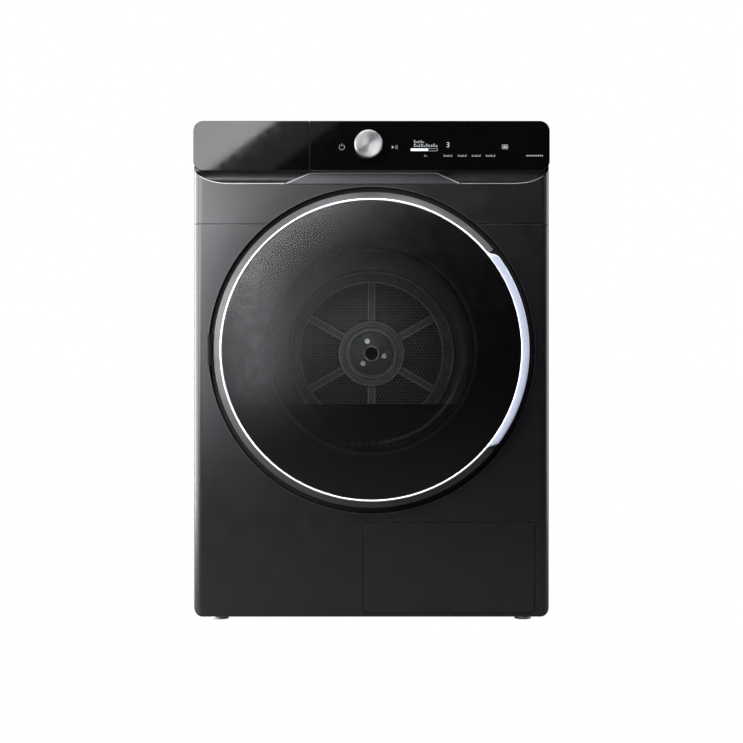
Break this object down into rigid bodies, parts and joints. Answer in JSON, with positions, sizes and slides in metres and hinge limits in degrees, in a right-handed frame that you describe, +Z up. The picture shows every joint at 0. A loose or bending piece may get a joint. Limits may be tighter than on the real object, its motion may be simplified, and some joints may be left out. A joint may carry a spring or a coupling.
{
  "type": "heat-pump clothes dryer",
  "caption": "Free-standing front-loading clothes dryer with a round glass door, bright side handle, dial control panel, water drawer and lower access flap.",
  "frame": {"origin": "on the floor, under the centre of the overall box", "axes": "+Z up, +X to the right seen from the front, the door faces -Y"},
  "size_m": [0.6, 0.65, 0.843],
  "materials": {
    "graphite_paint": "satin",
    "steel_sheet": "satin",
    "grey_paint": "satin",
    "black_plastic": "satin",
    "dark_plastic": "matte",
    "grey_plastic": "matte",
    "grey_trim": "satin",
    "white_plastic": "matte",
    "black_glass": "gloss",
    "door_glass": "gloss",
    "bowl_glass": "gloss",
    "chrome_trim": "polished",
    "dial_metal": "spun",
    "board": "matte",
    "felt": "felt",
    "filter_fabric": "matte",
    "drum_steel": "satin",
    "zinc_steel": "satin",
    "belt_rubber": "matte",
    "roller_rubber": "matte",
    "motor_metal": "matte",
    "black_metal": "satin",
    "copper": "satin",
    "blue_plastic": "matte",
    "clear_plastic": "satin",
    "foot_rubber": "matte"
  },
  "bodies": {
    "cabinet": {"base_tray": "dark_plastic", "side_panel_left": "graphite_paint", "side_panel_right": "graphite_paint", "rear_panel": "grey_paint", "rear_duct_cover": "grey_paint", "top_cover": "graphite_paint", "cross_rails": "steel_sheet", "front_panel_lower": "graphite_paint", "front_panel_upper": "graphite_paint", "centre_tongue": "grey_trim", "control_housing": "black_plastic", "control_glass": "black_glass", "control_board": "board", "tank_tray": "dark_plastic", "door_dish": "black_plastic", "front_bulkhead": "steel_sheet", "front_felt": "felt", "filter_housing": "black_plastic", "rear_bearing": "motor_metal", "condensate_pump": "white_plastic", "drum_belt": "belt_rubber", "motor_body": "motor_metal", "compressor": "black_metal", "refrigerant_circuit": "copper", "duct_cover": "grey_plastic", "exchanger_cover": "grey_plastic", "door_fittings": "zinc_steel", "rear_fittings": "black_plastic"},
    "door": {"door_glass": "door_glass", "door_trim": "chrome_trim", "door_ring": "grey_trim", "door_back_frame": "black_plastic", "door_bowl": "bowl_glass", "door_hinge_leaf": "zinc_steel"},
    "hook": {"door_hook": "zinc_steel"},
    "drawer": {"drawer_front": "black_plastic", "drawer_glass": "black_glass", "tank_body": "clear_plastic", "tank_lid": "clear_plastic"},
    "dial": {"dial": "dial_metal"},
    "flap": {"flap": "graphite_paint"},
    "lock_left": {"cover_lock_left": "blue_plastic"},
    "lock_right": {"cover_lock_right": "blue_plastic"},
    "filter": {"lint_filter": "filter_fabric"},
    "drum": {"drum_shell": "drum_steel", "drum_lifters": "drum_steel", "drum_back": "dark_plastic", "drum_screen": "drum_steel", "hub_screws": "zinc_steel", "drum_shaft": "zinc_steel"},
    "roller_left": {"roller_left": "roller_rubber"},
    "roller_right": {"roller_right": "roller_rubber"},
    "rotor": {"motor_rotor": "zinc_steel", "fan_impeller": "white_plastic"},
    "idler_arm": {"idler_arm": "zinc_steel"},
    "idler_pulley": {"idler_pulley": "zinc_steel"},
    "foot_1": {"foot_1": "foot_rubber"},
    "foot_2": {"foot_2": "foot_rubber"},
    "foot_3": {"foot_3": "foot_rubber"},
    "foot_4": {"foot_4": "foot_rubber"}
  },
  "joints": [
    {"name": "door_swing", "type": "hinge", "parent": "cabinet", "child": "door", "pos_m": [-0.2703, -0.296, 0.457], "axis": [0, 0, -1], "range_deg": [0, 150]},
    {"name": "hook_pivot", "type": "hinge", "parent": "door", "child": "hook", "pos_m": [0.226, -0.284, 0.457], "axis": [0, 0, 1], "range_deg": [0, 9], "stiffness_Nm_per_rad": 0.3, "springref_deg": -11.46},
    {"name": "drawer_pull", "type": "slide", "parent": "cabinet", "child": "drawer", "axis": [0, -1, 0], "range_m": [0, 0.4]},
    {"name": "dial_turn", "type": "hinge", "parent": "cabinet", "child": "dial", "pos_m": [-0.005, -0.3, 0.799], "axis": [0, 1, 0], "continuous": true},
    {"name": "flap_open", "type": "hinge", "parent": "cabinet", "child": "flap", "pos_m": [0.13, -0.276, 0.025], "axis": [1, 0, 0], "range_deg": [0, 90]},
    {"name": "lock_left_turn", "type": "hinge", "parent": "cabinet", "child": "lock_left", "pos_m": [0.062, -0.27, 0.086], "axis": [0, 1, 0], "range_deg": [0, 90]},
    {"name": "lock_right_turn", "type": "hinge", "parent": "cabinet", "child": "lock_right", "pos_m": [0.238, -0.27, 0.086], "axis": [0, 1, 0], "range_deg": [-90, 0]},
    {"name": "filter_lift", "type": "slide", "parent": "cabinet", "child": "filter", "axis": [0, 0, -1], "range_m": [-0.1, 0]},
    {"name": "drum_spin", "type": "hinge", "parent": "cabinet", "child": "drum", "pos_m": [0, 0, 0.457], "axis": [0, 1, 0], "continuous": true},
    {"name": "roller_left_spin", "type": "hinge", "parent": "cabinet", "child": "roller_left", "pos_m": [-0.175, -0.214, 0.20671], "axis": [0, 1, 0], "continuous": true},
    {"name": "roller_right_spin", "type": "hinge", "parent": "cabinet", "child": "roller_right", "pos_m": [0.175, -0.214, 0.20671], "axis": [0, 1, 0], "continuous": true},
    {"name": "rotor_spin", "type": "hinge", "parent": "cabinet", "child": "rotor", "pos_m": [-0.15, 0, 0.105], "axis": [0, 1, 0], "continuous": true},
    {"name": "idler_arm_swing", "type": "hinge", "parent": "cabinet", "child": "idler_arm", "pos_m": [-0.14, -0.072, 0.15], "axis": [0, 1, 0], "range_deg": [0, 8], "stiffness_Nm_per_rad": 6, "springref_deg": -11.46},
    {"name": "idler_spin", "type": "hinge", "parent": "idler_arm", "child": "idler_pulley", "pos_m": [-0.193, -0.06, 0.203], "axis": [0, 1, 0], "continuous": true},
    {"name": "foot_1_turn", "type": "hinge", "parent": "cabinet", "child": "foot_1", "pos_m": [-0.258, -0.244, 0], "axis": [0, 0, 1], "continuous": true},
    {"name": "foot_2_turn", "type": "hinge", "parent": "cabinet", "child": "foot_2", "pos_m": [0.258, -0.244, 0], "axis": [0, 0, 1], "continuous": true},
    {"name": "foot_3_turn", "type": "hinge", "parent": "cabinet", "child": "foot_3", "pos_m": [-0.258, 0.25, 0], "axis": [0, 0, 1], "continuous": true},
    {"name": "foot_4_turn", "type": "hinge", "parent": "cabinet", "child": "foot_4", "pos_m": [0.258, 0.25, 0], "axis": [0, 0, 1], "continuous": true}
  ],
  "couplings": [
    {"joint": "roller_left_spin", "follows": "drum_spin", "ratio": -12.864},
    {"joint": "roller_right_spin", "follows": "drum_spin", "ratio": -12.864},
    {"joint": "rotor_spin", "follows": "drum_spin", "ratio": 23.583},
    {"joint": "idler_spin", "follows": "drum_spin", "ratio": 18.867}
  ]
}
